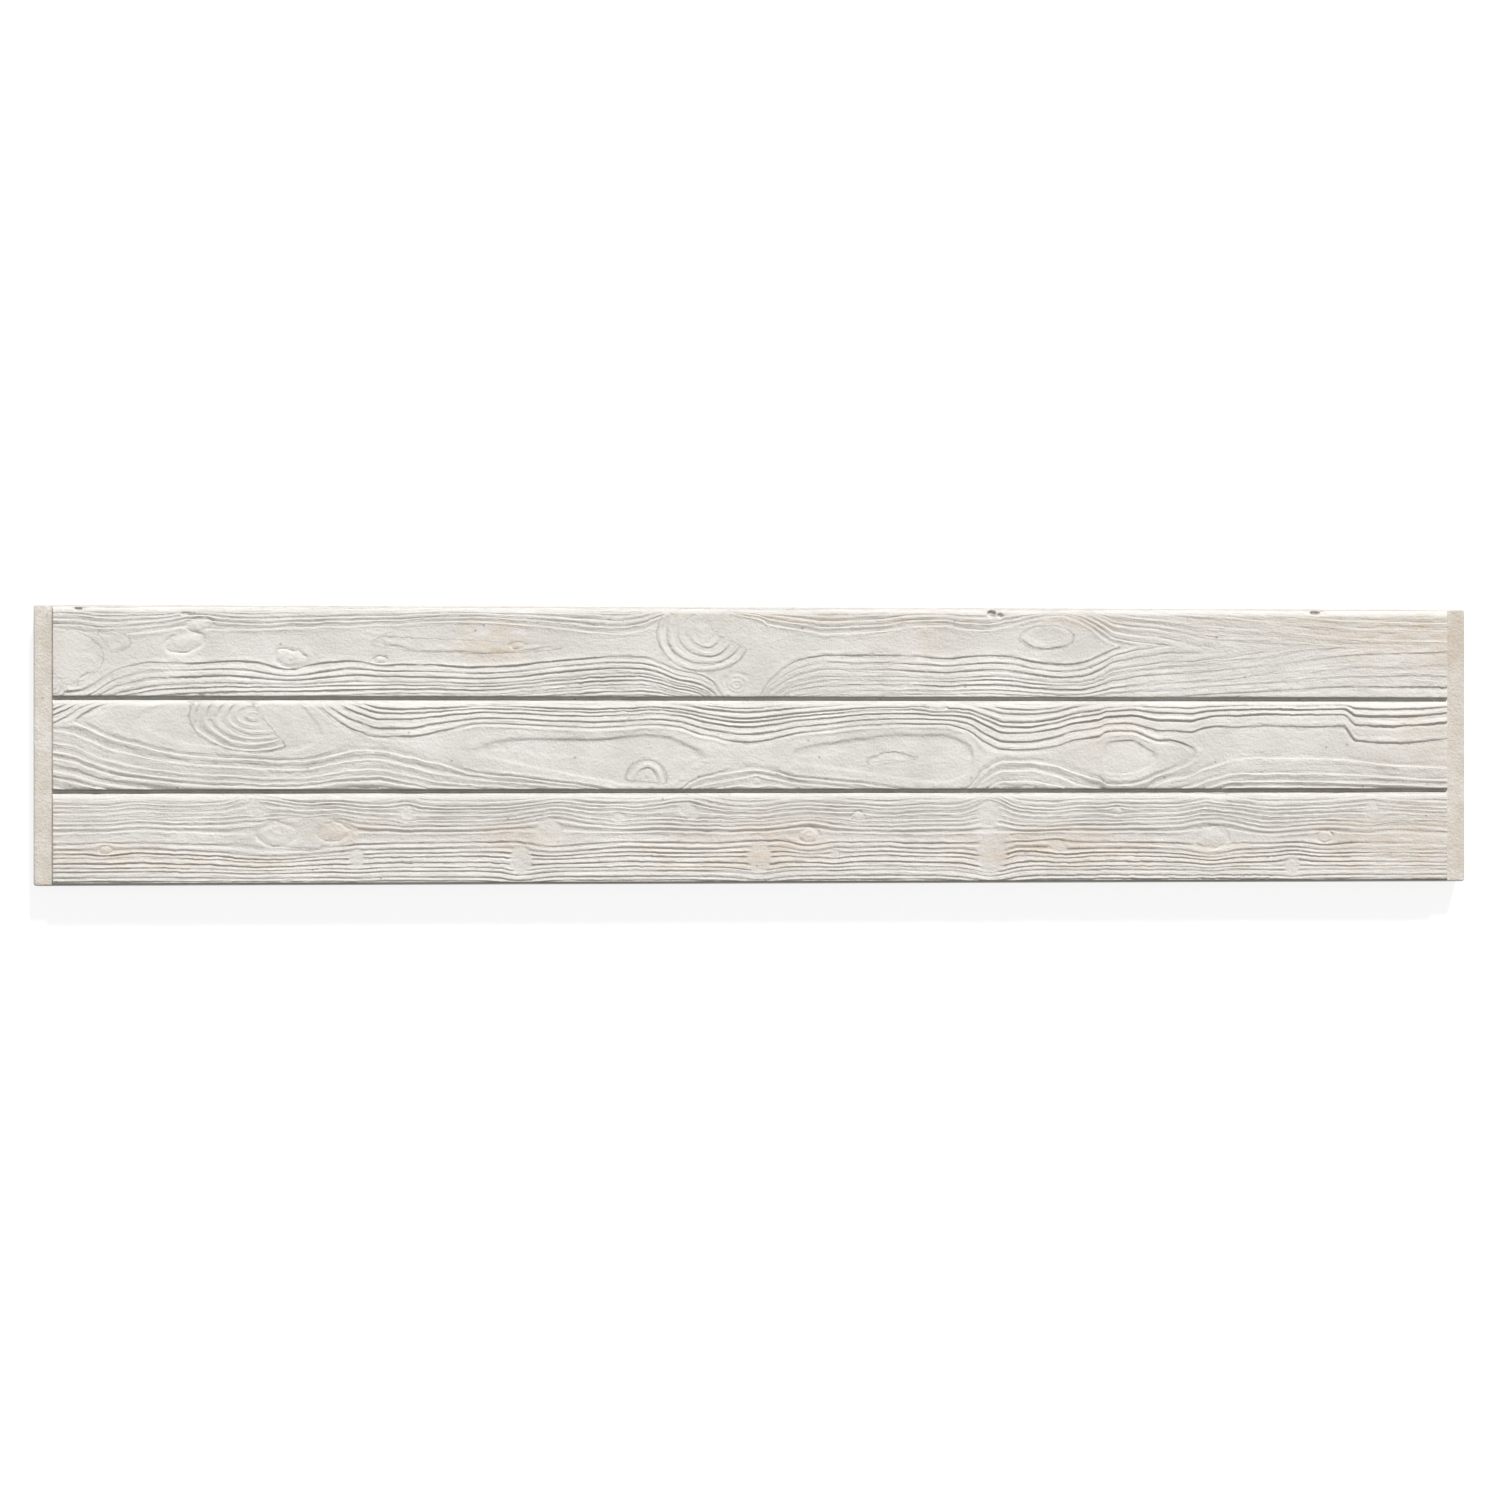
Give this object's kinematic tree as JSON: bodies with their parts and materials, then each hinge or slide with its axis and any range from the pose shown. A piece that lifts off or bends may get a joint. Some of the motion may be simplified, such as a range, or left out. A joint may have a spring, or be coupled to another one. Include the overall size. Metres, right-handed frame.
{
  "type": "concrete fence slab",
  "caption": "Long flat concrete fence slab with a wood-plank relief face and plain end tongues that slide into slotted posts.",
  "frame": {"origin": "middle of the flat back, on the floor when the slab lies on its back", "axes": "+X along the slab, +Y up its face as it stands in a fence, +Z out of the plank face"},
  "size_m": [2, 0.385, 0.048],
  "materials": {
    "concrete": "matt pale cast concrete with a wood-grain relief"
  },
  "bodies": {
    "root": {"fence_slab": "concrete"}
  },
  "joints": []
}
